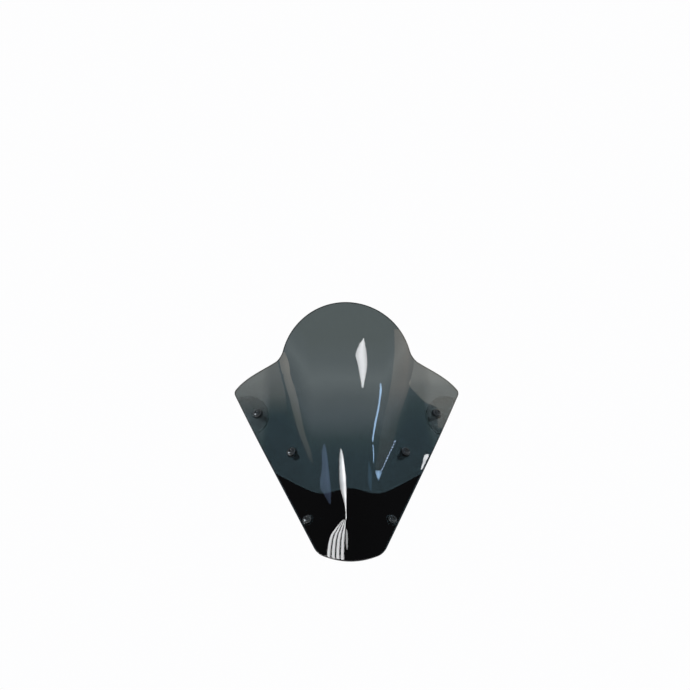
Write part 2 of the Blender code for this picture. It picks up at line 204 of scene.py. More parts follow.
# ---- Objects ---------------------------------------------
def added(name, data):
    """A new object in the scene."""
    made = bpy.data.objects.new(name, data)
    bpy.context.scene.collection.objects.link(made)
    return made


def aimed(made, place, axis, direction):
    """Puts an object at a place, with one of its own axes in a direction."""
    made.location = place
    made.rotation_mode = "QUATERNION"
    made.rotation_quaternion = direction.to_track_quat(axis, "Y")


# ---- Outlines, as seen from the front --------------------
def line(start, end, count):
    return [Vector(start).lerp(Vector(end), i / count) for i in range(count + 1)]


def bowed(start, end, bulge, count):
    start, end = Vector(start), Vector(end)
    chord = end - start
    right = Vector((chord.y, -chord.x)).normalized()
    shares = [i / count for i in range(count + 1)]
    peak = 4 / 27  # of t (1 - t)^2, at t = 1/3
    return [start + t * chord + bulge / peak * t * (1 - t) ** 2 * right for t in shares]


def dome_arc(count):
    first = Vector((NECK[0], NECK[1] - DOME_CENTRE))
    angle = first.angle(Vector((1, 0)))
    turns = [angle + (pi / 2 - angle) * i / count for i in range(count + 1)]
    return [Vector((DOME_RADIUS * cos(t), DOME_CENTRE + DOME_RADIUS * sin(t))) for t in turns]


def shortened(path, cut):
    """The path without its first stretch of length cut."""
    path = list(path)
    while cut > 0:
        step = (path[1] - path[0]).length
        if step > cut:
            path[0] = path[0].lerp(path[1], cut / step)
            return path
        cut -= step
        path.pop(0)
    return path


def joined(before, after, cut, count=12):
    """Two paths that meet at a corner, with the corner rounded over a length of cut on each."""
    before = shortened(before[::-1], cut)[::-1]
    after = shortened(after, cut)
    start, end = before[-1], after[0]
    pull = CORNER_PULL * cut
    leave = start + pull * (before[-1] - before[-2]).normalized()
    arrive = end + pull * (after[0] - after[1]).normalized()
    turn = []
    for i in range(1, count):
        t = i / count
        s = 1 - t
        turn.append(s**3 * start + 3 * s * s * t * leave + 3 * s * t * t * arrive + t**3 * end)
    return before + turn + after


def nose_edge():
    return [Vector((NOSE_CORNER[0] * i / 24, NOSE_CORNER[1] * (i / 24) ** 2)) for i in range(25)]


def side_edge():
    """The outline's side, from the middle of the nose to the wing tip."""
    path = joined(nose_edge(), line(NOSE_CORNER, SIDE_KINK, 82), NOSE_CUT)
    return joined(path, line(SIDE_KINK, WING_TIP, 32), KINK_CUT)


def half_outline():
    """From the bottom of the nose, up the side x > 0, to the top of the bubble."""
    path = joined(side_edge(), bowed(WING_TIP, NECK, WING_BULGE, 40), TIP_CUT)
    return joined(path, dome_arc(60), NECK_CUT)


def both_sides(half):
    """A closed outline from its half at x >= 0, which starts and ends at x = 0."""
    return half + [Vector((-p.x, p.y)) for p in half[-2:0:-1]]


def evened(loop, spacing):
    """A closed loop with its points spread evenly, about spacing apart."""
    steps = [(b - a).length for a, b in zip(loop, loop[1:] + loop[:1])]
    count = round(sum(steps) / spacing)
    every = sum(steps) / count
    made, at, i = [], 0.0, 0
    for k in range(count):
        while at + steps[i] < k * every:
            at += steps[i]
            i += 1
        after = loop[(i + 1) % len(loop)]
        made.append(loop[i].lerp(after, (k * every - at) / steps[i]))
    return made


# ---- Sheets ----------------------------------------------
def edge_frame(loop):
    """At each point of a loop: the face's point and normal, and the direction out of the sheet."""
    places = [face_point(p.x, p.y) for p in loop]
    frames = []
    for i, (p, place) in enumerate(zip(loop, places)):
        along = (places[(i + 1) % len(loop)] - places[i - 1]).normalized()
        normal = face_normal(p.x, p.y)
        frames.append((place, normal, along.cross(normal).normalized()))
    return frames


def hole_loop(x, z, radius, count=48):
    """A round hole square to the face at x, z, as a clockwise loop seen from the front."""
    centre, normal = face_point(x, z), face_normal(x, z)
    turn = normal.to_track_quat("Z", "Y")
    loop = []
    for i in range(count):
        angle = tau * i / count
        place = centre + turn @ Vector((radius * cos(angle), radius * sin(angle), 0)) - SHIFT
        loop.append(Vector((place.x, place.z)))
    area = sum(a.x * b.y - b.x * a.y for a, b in zip(loop, loop[1:] + loop[:1]))
    return loop if area < 0 else loop[::-1]


def columns(stops, spacing):
    """Points between the stops, evenly spread in each stretch."""
    made = []
    for low, high in zip(stops, stops[1:]):
        count = max(1, round((high - low) / spacing))
        made += [low + (high - low) * i / count for i in range(count)]
    return made + [stops[-1]]


def inner_points(outline, loops, spacing):
    """The mesh's points inside an outline: rows that follow the flutes' creases, clear of every loop."""
    edge = [p for loop in loops for p in loop]
    tree = kdtree.KDTree(len(edge))
    for i, p in enumerate(edge):
        tree.insert((p.x, p.y, 0), i)
    tree.balance()
    low, high = min(p.y for p in outline), max(p.y for p in outline)
    left, right = min(p.x for p in outline), max(p.x for p in outline)
    rows = int((high - low) / spacing)
    made = []
    for row in range(1, rows):
        z = low + (high - low) * row / rows
        inner, outer = creases(z)
        ends = max(abs(left), right)
        if z > FLUTE_FOOT[1] and outer < ends:
            half = columns([0, inner], spacing) + columns([inner, outer], spacing * FLUTE_SHARE)[1:]
            half += columns([outer, ends], spacing)[1:]
        else:
            half = columns([0, ends], spacing)
        for x in [-x for x in half[:0:-1]] + half:
            if left < x < right and tree.find((x, z, 0))[2] > spacing * CLEAR_SHARE:
                made.append(Vector((x, z)))
    return made


def inside(point, loop):
    """True if a point is within a closed loop."""
    crossings = 0
    for a, b in zip(loop, loop[1:] + loop[:1]):
        if (a.y > point.y) != (b.y > point.y):
            crossings += point.x < a.x + (b.x - a.x) * (point.y - a.y) / (b.y - a.y)
    return crossings % 2 == 1


def triangles_within(outer, holes, spacing):
    """The points and triangles that fill an outline round its holes."""

    def in_hole(point):
        return any((point - hole[0]).length < HOLE_REACH and inside(point, hole) for hole in holes)

    loops = [outer] + holes
    points, edges = [], []
    for loop in loops:
        start = len(points)
        points += loop
        edges += [(start + i, start + (i + 1) % len(loop)) for i in range(len(loop))]
    points += [p for p in inner_points(outer, loops, spacing) if inside(p, outer) and not in_hole(p)]
    found = geometry.delaunay_2d_cdt(points, edges, [], 1, 1e-7)
    points, faces = found[0], found[2]
    kept = []
    for face in faces:
        if not in_hole(sum((points[i] for i in face), Vector((0, 0))) / 3):
            kept.append(face)
    return points, kept


def sheet(name, outer, holes, near, far, spacing=PITCH, rounding=EDGE_ROUND, rings=8, squareness=0.6,
          back_point=None):
    """A closed sheet from near to far behind the face, with round edges, and its smooth normals.

    Its material 0 is on the front and the back, 1 on the edges. back_point takes a point of the front to
    the one behind it, for a back that doesn't follow the face.
    """
    frames = [edge_frame(loop) for loop in [outer] + holes]
    trimmed = []
    for loop in frames:
        moved = [place - rounding * out - SHIFT for place, _, out in loop]
        trimmed.append([Vector((p.x, p.z)) for p in moved])
    points, faces = triangles_within(trimmed[0], trimmed[1:], spacing)

    count = len(points)
    verts = [behind(p.x, p.y, near) for p in points]
    verts += [back_point(p) for p in verts] if back_point else [behind(p.x, p.y, far) for p in points]
    normals = [face_normal(p.x, p.y) for p in points]
    normals += [-normal for normal in normals]
    polygons = []
    for face in faces:
        a, b, c = (points[i] for i in face)
        if (b - a).cross(c - a) < 0:
            face = face[::-1]
        polygons.append(tuple(face))
        polygons.append(tuple(i + count for i in reversed(face)))
    rim = [0] * len(polygons)

    start = 0
    for loop in frames:
        size = len(loop)
        previous = list(range(start, start + size))
        last = [i + count for i in previous]
        for ring in range(1, rings):
            angle = pi * ring / rings
            reach = abs(sin(angle)) ** squareness
            rise = abs(cos(angle)) ** squareness * (1 if angle < pi / 2 else -1)
            row = []
            for i in range(size):
                out, normal = loop[i][2], loop[i][1]
                top, bottom = verts[start + i], verts[count + start + i]
                middle = (top + bottom) / 2
                row.append(len(verts))
                verts.append(middle + rise * (top - bottom) / 2 + rounding * reach * out)
                normals.append((sin(angle) * out + cos(angle) * normal).normalized())
            for i in range(size):
                j = (i + 1) % size
                polygons.append((previous[i], row[i], row[j], previous[j]))
                rim.append(1)
            previous = row
        for i in range(size):
            j = (i + 1) % size
            polygons.append((previous[i], last[i], last[j], previous[j]))
            rim.append(1)
        start += size

    mesh = bpy.data.meshes.new(name)
    mesh.from_pydata(verts, [], polygons)
    mesh.validate()
    mesh.shade_smooth()
    mesh.normals_split_custom_set_from_vertices(normals)
    for polygon, on_rim in zip(mesh.polygons, rim):
        polygon.material_index = on_rim
    return added(name, mesh)


# ---- Outlines of what lies behind the screen -------------
def inset(path, distance):
    """The path moved to its left, into the screen."""
    moved = []
    for i, point in enumerate(path):
        run = path[min(i + 1, len(path) - 1)] - path[max(i - 1, 0)]
        moved.append(point + distance * Vector((-run.y, run.x)).normalized())
    return moved


def between(path, low, high):
    return [p for p in path if low <= p.y <= high]


def wave(x):
    """Height of the mask's top edge."""
    x = abs(x)
    if x < WAVE_DIP_X:
        return WAVE_DIP_Z + WAVE_CREST * (1 + cos(pi * x / WAVE_DIP_X)) / 2
    return WAVE_DIP_Z + WAVE_SLOPE * (hypot(x - WAVE_DIP_X, WAVE_ROUND) - WAVE_ROUND)


def mask_half():
    """From the bottom of the mask, up its side, and along its wavy top back to the middle."""
    side = [p for p in inset(side_edge(), MASK_INSET) if p.y < wave(p.x)]
    side[0].x = 0
    reach = side[-1].x
    top = [Vector((reach * (1 - i / 96), wave(reach * (1 - i / 96)))) for i in range(1, 97)]
    return side + top


def rounded_loop(paths, cut):
    """A closed loop through paths that each start where the last ends, with rounded corners."""
    half = len(paths[0]) // 2
    loop = paths[0][half:]
    for path in paths[1:] + [paths[0][:half + 1]]:
        loop = joined(loop, path, cut)
    return loop[:-1]


def gasket_outline():
    outer = between(inset(side_edge(), GASKET_INSET), GASKET_FROM, GASKET_TO)
    inner = between(inset(side_edge(), GASKET_INSET + GASKET_WIDTH), GASKET_FROM, GASKET_TO)[::-1]
    ends = line(outer[-1], inner[0], 8), line(inner[-1], outer[0], 8)
    return rounded_loop([outer, ends[0], inner, ends[1]], GASKET_CUT)


def pad_outline():
    """A wing tip's pad: straight along the wing's edge, round towards the middle."""
    edge = between(inset(side_edge(), MASK_INSET), PAD_FROM, PAD_TO)
    start, end = edge[0], edge[-1]
    middle, half = (start + end) / 2, (end - start) / 2
    inwards = Vector((-half.y, half.x)).normalized() * PAD_REACH
    turns = [pi * i / 40 for i in range(1, 40)]
    return edge + [middle + cos(t) * half + sin(t) * inwards for t in turns]


def mirrored(loop):
    """A closed loop on the other side, still anticlockwise."""
    return [Vector((-p.x, p.y)) for p in loop[::-1]]


# ---- Turned pieces ---------------------------------------
def ringed(name, rings, closed=False):
    """A body from rings of (radius, height): from an end on the axis to another, or a closed loop."""
    verts, faces, rows = [], [], []
    count = len(rings[0])
    for ring in rings:
        if ring[0][0] == 0:
            rows.append([len(verts)] * count)
            verts.append((0, 0, ring[0][1]))
            continue
        rows.append(list(range(len(verts), len(verts) + count)))
        verts += [(r * cos(tau * i / count), r * sin(tau * i / count), z) for i, (r, z) in enumerate(ring)]
    for low, high in zip(rows, rows[1:] + (rows[:1] if closed else [])):
        for i in range(count):
            j = (i + 1) % count
            corners = [low[i], low[j], high[j], high[i]]
            faces.append([v for k, v in enumerate(corners) if v not in corners[:k]])
    mesh = bpy.data.meshes.new(name)
    mesh.from_pydata(verts, [], faces)
    return mesh


def turned(name, profile, segments=64, closed=False):
    """A profile of (radius, height) turned about Z."""
    return ringed(name, [[corner] * segments for corner in profile], closed)


def softened(corners, usual_cut, steps=4):
    """A closed profile with round corners. Each corner is (radius, height), or that and its own cut."""
    made = []
    for i, corner in enumerate(corners):
        point = Vector(corner[:2])
        cut = corner[2] if len(corner) > 2 else usual_cut
        before, after = Vector(corners[i - 1][:2]), Vector(corners[(i + 1) % len(corners)][:2])
        start = point + cut * (before - point).normalized()
        end = point + cut * (after - point).normalized()
        for k in range(steps + 1):
            t = k / steps
            made.append(tuple(start.lerp(point, t).lerp(point.lerp(end, t), t)))
    return made


def finished(mesh, angle=0.5):
    """The mesh with faces pointing out, shaded smooth up to an angle."""
    bm = bmesh.new()
    bm.from_mesh(mesh)
    bmesh.ops.remove_doubles(bm, verts=bm.verts, dist=1e-7)
    bmesh.ops.recalc_face_normals(bm, faces=bm.faces)
    bm.to_mesh(mesh)
    bm.free()
    mesh.shade_smooth()
    mesh.set_sharp_from_angle(angle=angle)
    return mesh


def threaded(low, high, root, crest, runout=0.0009):
    """Rings for a helical thread from low to high, which fades out at both ends."""
    count = round((high - low) / THREAD_PITCH * THREAD_ROWS)
    rings = []
    for k in range(count + 1):
        z = low + (high - low) * k / count
        full = min(1, (z - low) / runout, (high - z) / runout)
        ring = []
        for i in range(THREAD_SEGMENTS):
            phase = (z / THREAD_PITCH - i / THREAD_SEGMENTS) % 1
            flank = min(1, max(0, (abs(phase - 0.5) - CREST_SHARE) / FLANK_SHARE))
            ring.append((root + (crest - root) * full * (1 - flank), z))
        rings.append(ring)
    return rings


def hexagon_ring(across, height):
    """A hexagon, with slightly round corners, of a width across its flats."""
    turns = [(tau * i / THREAD_SEGMENTS) % (pi / 3) - pi / 6 for i in range(THREAD_SEGMENTS)]
    corner = HEXAGON_ROUND * across / 2 / cos(pi / 6)
    return [(min(across / 2 / cos(turn), corner), height) for turn in turns]


def even_ring(radius, height):
    """A round ring, with as many steps as a thread's."""
    return [(radius, height)] * THREAD_SEGMENTS


def screw_mesh():
    """An M5 button-head screw: rounded head, hexagon socket with a drilled bottom, and a rolled thread."""
    tip, base = -SHANK_LENGTH, HEAD_HEIGHT - HEAD_CROWN
    point = [(0, tip), (SHANK_RADIUS - 0.0009, tip), (SHANK_RADIUS - 0.0005, tip + 0.0004)]
    neck = [(SHANK_RADIUS - 0.0004, -0.0005), (SHANK_RADIUS, -0.0001), (SHANK_RADIUS + 0.0002, 0)]
    head = [(HEAD_RADIUS - 0.00018, 0), (HEAD_RADIUS - 0.00005, 0.00005), (HEAD_RADIUS, 0.00018),
            (HEAD_RADIUS, base)]
    rings = [even_ring(*p) for p in point]
    rings += threaded(tip + 0.0006, -0.0012, SHANK_RADIUS - THREAD_DEPTH, SHANK_RADIUS)
    rings += [even_ring(*p) for p in neck + head]
    rim = SOCKET_ACROSS / sqrt(3) + 0.00018
    last = acos(rim / HEAD_RADIUS)
    steps = 14
    for k in range(1, steps + 1):
        turn = last * k / steps
        rings.append(even_ring(HEAD_RADIUS * cos(turn), base + HEAD_CROWN * sin(turn)))
    flat = rings[-1][0][1]
    rings.append(even_ring(rim - 0.00004, flat - 0.00001))
    bottom = HEAD_HEIGHT - SOCKET_DEPTH
    rings += [hexagon_ring(SOCKET_ACROSS, flat - 0.0002), hexagon_ring(SOCKET_ACROSS, bottom)]
    rings += [even_ring(SOCKET_ACROSS / 2 * 0.86, bottom - 0.00002), even_ring(0, bottom - 0.0004)]
    return finished(ringed("screw", rings), 0.6)


def washer_mesh():
    low, high = GAP, GAP + WASHER_THICKNESS
    corners = [(WASHER_BORE, low), (WASHER_RADIUS, low), (WASHER_RADIUS, high), (WASHER_BORE, high)]
    return finished(turned("washer", softened(corners, 0.00025), closed=True))


def well_nut_mesh():
    """A flanged rubber sleeve, with a moulded bead round its body and a pocket for the insert."""
    face = -THICKNESS - GAP
    step = face - FLANGE_THICKNESS
    back = step - BODY_LENGTH
    pocket = INSERT_RADIUS + GAP
    shoulder = back + INSERT_LENGTH + 2 * GAP
    corners = [(pocket, back, 0.0002), (BODY_RADIUS - 0.0001, back, 0.0006),
               (BODY_RADIUS, back + 0.0030), (BODY_RADIUS - 0.0003, back + 0.0052, 0.0005),
               (BODY_RADIUS - 0.0003, step - 0.0020, 0.0005), (BODY_RADIUS, step, 0.0003),
               (FLANGE_RADIUS, step, 0.0004), (FLANGE_RADIUS, face, 0.0003), (NUT_BORE, face, 0.0002),
               (NUT_BORE, shoulder, 0.0002), (pocket, shoulder, 0.0001)]
    return finished(turned("well_nut", softened(corners, 0.0003), closed=True), 0.7)


def insert_mesh():
    """A brass insert: a straight knurl outside, a thread inside, and chamfers at both ends."""
    low = -THICKNESS - GAP - FLANGE_THICKNESS - BODY_LENGTH + GAP
    high = low + INSERT_LENGTH
    middle = (low + high) / 2

    def knurled(height):
        return [(INSERT_RADIUS - KNURL_DEPTH * (i % 2), height) for i in range(THREAD_SEGMENTS)]

    lead_in, chamfer, groove = 0.00035, 0.0004, 0.0003
    outside = [even_ring(INSERT_BORE + lead_in, low), even_ring(INSERT_RADIUS - chamfer, low),
               knurled(low + chamfer), knurled(middle - chamfer),
               even_ring(INSERT_RADIUS - groove, middle - groove),
               even_ring(INSERT_RADIUS - groove, middle + groove),
               knurled(middle + chamfer), knurled(high - chamfer),
               even_ring(INSERT_RADIUS - chamfer, high), even_ring(INSERT_BORE + lead_in, high)]
    bore = threaded(low + lead_in, high - lead_in, INSERT_BORE + groove, INSERT_BORE, runout=0.0002)
    return finished(ringed("insert", outside + bore[::-1], closed=True), 0.6)


# ---- Materials -------------------------------------------
class Nodes:
    """The node tree of a material or a world, and short ways to add to it."""

    def __init__(self, owner):
        owner.use_nodes = True
        self.tree = owner.node_tree

    def node(self, kind, inputs=None, **settings):
        made = self.tree.nodes.new(kind)
        for name, value in settings.items():
            setattr(made, name, value)
        for name, value in (inputs or {}).items():
            self.feed(made.inputs[name], value)
        return made

    def feed(self, socket, value):
        if isinstance(value, bpy.types.NodeSocket):
            self.tree.links.new(value, socket)
        else:
            socket.default_value = value

    def spread(self, value, low, high, to_low, to_high, **settings):
        """A value from low..high mapped to to_low..to_high, and held there."""
        inputs = {"Value": value, "From Min": low, "From Max": high, "To Min": to_low, "To Max": to_high}
        return self.node("ShaderNodeMapRange", inputs, **settings).outputs["Result"]

    def maths(self, operation, first, second=0.0):
        made = self.node("ShaderNodeMath", operation=operation)
        self.feed(made.inputs[0], first)
        self.feed(made.inputs[1], second)
        return made.outputs[0]

    def mixed(self, share, first, second):
        """The first colour, with a share of the second. A mix node's colours are sockets 6, 7 and 2."""
        made = self.node("ShaderNodeMix", data_type="RGBA")
        self.feed(made.inputs[0], share)
        self.feed(made.inputs[6], first)
        self.feed(made.inputs[7], second)
        return made.outputs[2]


class Look(Nodes):
    """A material."""

    def __init__(self, name, **constants):
        self.material = bpy.data.materials.new(name)
        super().__init__(self.material)
        self.shader = self.tree.nodes["Principled BSDF"]
        self.place = self.node("ShaderNodeTexCoord").outputs["Object"]
        self.set(**constants)

    def set(self, **values):
        for name, value in values.items():
            self.feed(self.shader.inputs[name.replace("_", " ")], value)

    def stretched(self, scale):
        """The place, scaled along each axis."""
        return self.node("ShaderNodeMapping", {"Vector": self.place, "Scale": scale}).outputs["Vector"]

    def noise(self, scale, detail=3.0, roughness=0.55, at=None):
        inputs = {"Vector": at or self.place, "Scale": scale, "Detail": detail, "Roughness": roughness}
        return self.node("ShaderNodeTexNoise", inputs).outputs["Fac"]

    def cells(self, scale, at=None):
        inputs = {"Vector": at or self.place, "Scale": scale}
        return self.node("ShaderNodeTexVoronoi", inputs).outputs["Distance"]

    def from_axis(self):
        """How far the place is from the object's Z axis."""
        x, y, _ = self.node("ShaderNodeSeparateXYZ", {"Vector": self.place}).outputs
        squares = (self.maths("MULTIPLY", along, along) for along in (x, y))
        return self.maths("SQRT", self.maths("ADD", *squares))

    def coloured(self, value, stops):
        """A value from 0 to 1 as a colour, through stops of (place, colour)."""
        made = self.node("ShaderNodeValToRGB", {"Fac": value})
        ramp = made.color_ramp
        ramp.elements[0].position, ramp.elements[1].position = stops[0][0], stops[-1][0]
        ramp.elements[0].color, ramp.elements[1].color = (*stops[0][1], 1), (*stops[-1][1], 1)
        for place, colour in stops[1:-1]:
            ramp.elements.new(place).color = (*colour, 1)
        return made.outputs["Color"]

    def blended(self, kind, *values):
        """The output of a node whose inputs, in order, are the values."""
        made = self.node(kind)
        for socket, value in zip(made.inputs, values):
            self.feed(socket, value)
        return made.outputs[0]

    def end_with(self, shader):
        """Makes the surface of a shader other than the usual one."""
        self.tree.nodes.remove(self.shader)
        self.feed(self.tree.nodes["Material Output"].inputs["Surface"], shader)

    def bumped(self, height, distance, strength=1.0, under=None):
        inputs = {"Height": height, "Distance": distance, "Strength": strength}
        made = self.node("ShaderNodeBump", inputs)
        if under:
            self.feed(made.inputs["Normal"], under)
        return made.outputs["Normal"]


def up_the_screen(look):
    """0 at the bottom of the nose to 1 at the top of the bubble."""
    x, _, z = look.node("ShaderNodeSeparateXYZ", {"Vector": look.place}).outputs
    aside = look.maths("ABSOLUTE", x)
    into, out = (look.spread(aside, *ends, 0.0, SIDE_TINT_RISE) for ends in (SIDE_TINT_IN, SIDE_TINT_OUT))
    raised = look.maths("ADD", look.maths("SUBTRACT", z, into), out)
    return look.spread(raised, SHIFT.z, SHIFT.z + HEIGHT, 0.0, 1.0)


def smoked_acrylic():
    look = Look("smoked_acrylic", Transmission_Weight=1.0, IOR=1.49)
    height = up_the_screen(look)
    drift = look.spread(look.noise(9, 2), 0.35, 0.65, -0.012, 0.012)
    tint = look.coloured(look.maths("ADD", height, drift), TINT)
    scratches = look.cells(240, at=look.stretched((1, 0.2, 0.12)))
    dust = look.spread(look.noise(900, 2), 0.62, 0.78, 0.0, 0.03)
    hazy = look.spread(look.noise(30, 4), 0.3, 0.8, 0.012, 0.035)
    look.set(Base_Color=tint, Roughness=look.maths("ADD", hazy, dust))
    ripple = look.bumped(look.noise(22, 1), 0.00006)
    look.set(Normal=look.bumped(look.spread(scratches, 0.0, 0.05, 0.0, 1.0), 0.0000015, under=ripple))
    return look.material


def cut_edge():
    """The sheet's sawn and polished rim, where the tint is seen through more of its depth."""
    look = Look("acrylic_edge", Transmission_Weight=1.0, IOR=1.49)
    lines = look.noise(1500, 2, at=look.stretched((1, 0.15, 1)))
    height = up_the_screen(look)
    tint = look.mixed(look.spread(lines, 0.35, 0.7, 0.0, 0.35), look.coloured(height, EDGE_TINT),
                      (0.05, 0.06, 0.06, 1))
    look.set(Base_Color=tint, Roughness=look.spread(lines, 0.3, 0.7, 0.08, 0.22))
    look.set(Normal=look.bumped(lines, 0.000008))
    return look.material


def black_film():
    look = Look("black_film", Specular_IOR_Level=0.35)
    grain = look.noise(2600, 2)
    weave = look.noise(260, 3)
    base = look.coloured(weave, [(0.35, (0.0022, 0.0022, 0.0025)), (0.7, (0.0045, 0.0042, 0.005))])
    look.set(Base_Color=base)
    look.set(Roughness=look.spread(grain, 0.3, 0.7, 0.38, 0.55))
    look.set(Normal=look.bumped(grain, 0.00001, under=look.bumped(weave, 0.00002)))
    return look.material


def pale_foam():
    """Closed-cell foam that light comes through: fine cells in a milky skin, with painted shade darkening
    the bottom of each cell's pit.
    """
    look = Look("pale_foam", Transmission_Weight=0.9, IOR=1.15)
    cells = look.cells(1500)
    clouds = look.noise(120, 4)
    base = look.coloured(clouds, [(0.3, (0.80, 0.82, 0.82)), (0.7, (0.93, 0.94, 0.93))])
    # Painted shade: the colour turns darker grey towards the bottom of each cell's pit, where the bump
    # below makes its hollow.
    pit_shade = look.spread(cells, 0.0, 0.55, 1.0, 0.0)
    look.set(Base_Color=look.mixed(look.spread(pit_shade, 0.2, 1.0, 0.0, 0.3), base, (0.55, 0.57, 0.57, 1)))
    look.set(Roughness=look.spread(clouds, 0.3, 0.7, 0.6, 0.8))
    look.set(Normal=look.bumped(cells, 0.00015, under=look.bumped(look.cells(620), 0.0002, 0.6)))
    return look.material


def moulded_rubber(name, colour, grain_scale=1800, **constants):
    """Matt rubber with a fine moulded grain, paler where it has been rubbed or has bloomed."""
    look = Look(name, IOR=1.5, **constants)
    grain = look.noise(grain_scale, 3)
    bloom = look.noise(140, 5, 0.6)
    pale = tuple(c * 1.25 + 0.02 for c in colour)
    look.set(Base_Color=look.coloured(bloom, [(0.35, colour), (0.75, pale)]))
    look.set(Roughness=look.spread(bloom, 0.3, 0.75, 0.62, 0.85))
    look.set(Normal=look.bumped(grain, 0.00005, under=look.bumped(look.noise(350, 2), 0.00006)))
    return look.material


def black_steel():
    """Black-oxide steel with an oily satin grain, worn paler on its edges."""
    look = Look("black_steel", Metallic=0.5)
    grain = look.noise(2400, 3)
    edges = look.node("ShaderNodeNewGeometry").outputs["Pointiness"]
    patches = look.spread(look.noise(900, 3), 0.4, 0.6, 0.2, 1.0)
    worn = look.maths("MULTIPLY", look.spread(edges, 0.52, 0.60, 0.0, 1.0), patches)
    base = look.coloured(grain, [(0.3, (0.024, 0.031, 0.036)), (0.75, (0.042, 0.051, 0.057))])
    look.set(Base_Color=look.mixed(worn, base, (0.22, 0.21, 0.20, 1)))
    look.set(Roughness=look.spread(grain, 0.3, 0.7, 0.20, 0.34))
    look.set(Normal=look.bumped(grain, 0.000012))
    return look.material


def black_nylon():
    look = Look("black_nylon", IOR=1.53)
    grain = look.noise(1500, 3)
    cloudy = look.noise(300, 3)
    base = look.coloured(cloudy, [(0.3, (0.020, 0.026, 0.030)), (0.75, (0.034, 0.042, 0.047))])
    look.set(Base_Color=base)
    look.set(Roughness=look.spread(cloudy, 0.3, 0.7, 0.40, 0.58))
    look.set(Normal=look.bumped(grain, 0.00002))
    return look.material


def turned_brass():
    look = Look("turned_brass", Metallic=1.0)
    tool_step = 0.00012
    rings = look.maths("SINE", look.maths("MULTIPLY", look.from_axis(), tau / tool_step))
    tarnish = look.noise(700, 4)
    look.set(Base_Color=look.coloured(tarnish, [(0.3, (0.62, 0.42, 0.17)), (0.7, (0.80, 0.60, 0.30))]))
    look.set(Roughness=look.spread(tarnish, 0.3, 0.7, 0.22, 0.40))
    look.set(Normal=look.bumped(rings, 0.000006))
    return look.material


# ---- The screen and what is bonded behind it -------------
def dressed(made, node, slot, *materials):
    """Gives a piece its materials and its body, and hides the CAD node that it stands for. slot is not
    used.
    """
    for material in materials:
        made.data.materials.append(material)
    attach(made, BODY_OF[node])
    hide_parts(node)


def add_sheet_pieces():
    spots = [(sign * x, z) for x, z in FASTENERS.values() for sign in SIDES.values()]
    outline = evened(both_sides(half_outline()), EDGE_PITCH)
    holes = [hole_loop(x, z, HOLE_RADIUS) for x, z in spots]
    panel = sheet("smoked_screen", outline, holes, 0, THICKNESS)
    dressed(panel, "screen_panel", "smoked_acrylic", smoked_acrylic(), cut_edge())

    x, z = FASTENERS["lower"]
    clear = [hole_loop(sign * x, z, CLEAR_RADIUS) for sign in SIDES.values()]
    near = THICKNESS + FILM_GAP
    mask = sheet("blackout_film", evened(both_sides(mask_half()), EDGE_PITCH), clear, near,
                 near + MASK_THICKNESS, rounding=FILM_ROUND, rings=4)
    dressed(mask, "blackout_mask", "black_film", black_film())

    foam = pale_foam()
    rubber = moulded_rubber("gasket_rubber", (0.016, 0.016, 0.017))
    x, z = FASTENERS["upper"]
    near = THICKNESS + PAD_GAP
    on_mask = THICKNESS + 2 * GAP + MASK_THICKNESS
    for side, sign in SIDES.items():
        pad_loop = pad_outline() if sign > 0 else mirrored(pad_outline())
        hole = hole_loop(sign * x, z, CLEAR_RADIUS)
        pad = sheet(f"foam_pad_{side}", evened(pad_loop, EDGE_PITCH), [hole], near, near + PAD_THICKNESS,
                    rounding=PAD_ROUND)
        dressed(pad, f"wing_pad_{side}", "grey_foam", foam)
        strip_loop = gasket_outline() if sign > 0 else mirrored(gasket_outline())
        strip = sheet(f"gasket_strip_{side}", evened(strip_loop, GASKET_EDGE_PITCH), [], on_mask,
                      on_mask + GASKET_THICKNESS, spacing=GASKET_PITCH, rounding=GASKET_ROUND)
        dressed(strip, f"edge_gasket_{side}", "gasket_rubber", rubber)

    half, low, high = SEAT_HALF_WIDTH, SEAT_FROM, SEAT_TO
    corners = (-half, low), (half, low), (half, high), (-half, high)
    block = rounded_loop([line(corners[i], corners[(i + 1) % 4], 16) for i in range(4)], SEAT_CUT)
    normal = face_normal(0, (low + high) / 2)

    def flat_back(front):
        """The point behind it on the seat's flat back, which goes through the origin."""
        return front - front.dot(normal) * normal

    seat = sheet("rubber_nose_seat", evened(block, SEAT_EDGE_PITCH), [], on_mask, SEAT_DEPTH,
                 spacing=SEAT_PITCH, rounding=SEAT_ROUND, rings=12, squareness=0.35, back_point=flat_back)
    dressed(seat, "nose_seat", "seat_rubber", moulded_rubber("seat_rubber", (0.020, 0.020, 0.021), 1400))


# ---- Fasteners -------------------------------------------
def add_fasteners():
    milky = {"Subsurface_Weight": 0.7, "Subsurface_Radius": (1, 1, 1), "Subsurface_Scale": 0.004}
    rubber = moulded_rubber("well_nut_rubber", (0.56, 0.58, 0.58), **milky)
    kinds = {"screw": (screw_mesh(), black_steel(), "black_steel"),
             "washer": (washer_mesh(), black_nylon(), "black_nylon"),
             "well_nut": (well_nut_mesh(), rubber, "well_nut_rubber"),
             "insert": (insert_mesh(), turned_brass(), "brass")}
    for mesh, material, _ in kinds.values():
        mesh.materials.append(material)
    for level, (x, z) in FASTENERS.items():
        for side, sign in SIDES.items():
            for kind, (mesh, _, slot) in kinds.items():
                made = added(f"{kind}_{level}_{side}_fine", mesh)
                raised = WASHER_THICKNESS + 2 * GAP if kind == "screw" else 0
                aimed(made, behind(sign * x, z, -raised), "Z", face_normal(sign * x, z))
                dressed(made, f"{kind}_{level}_{side}", slot)


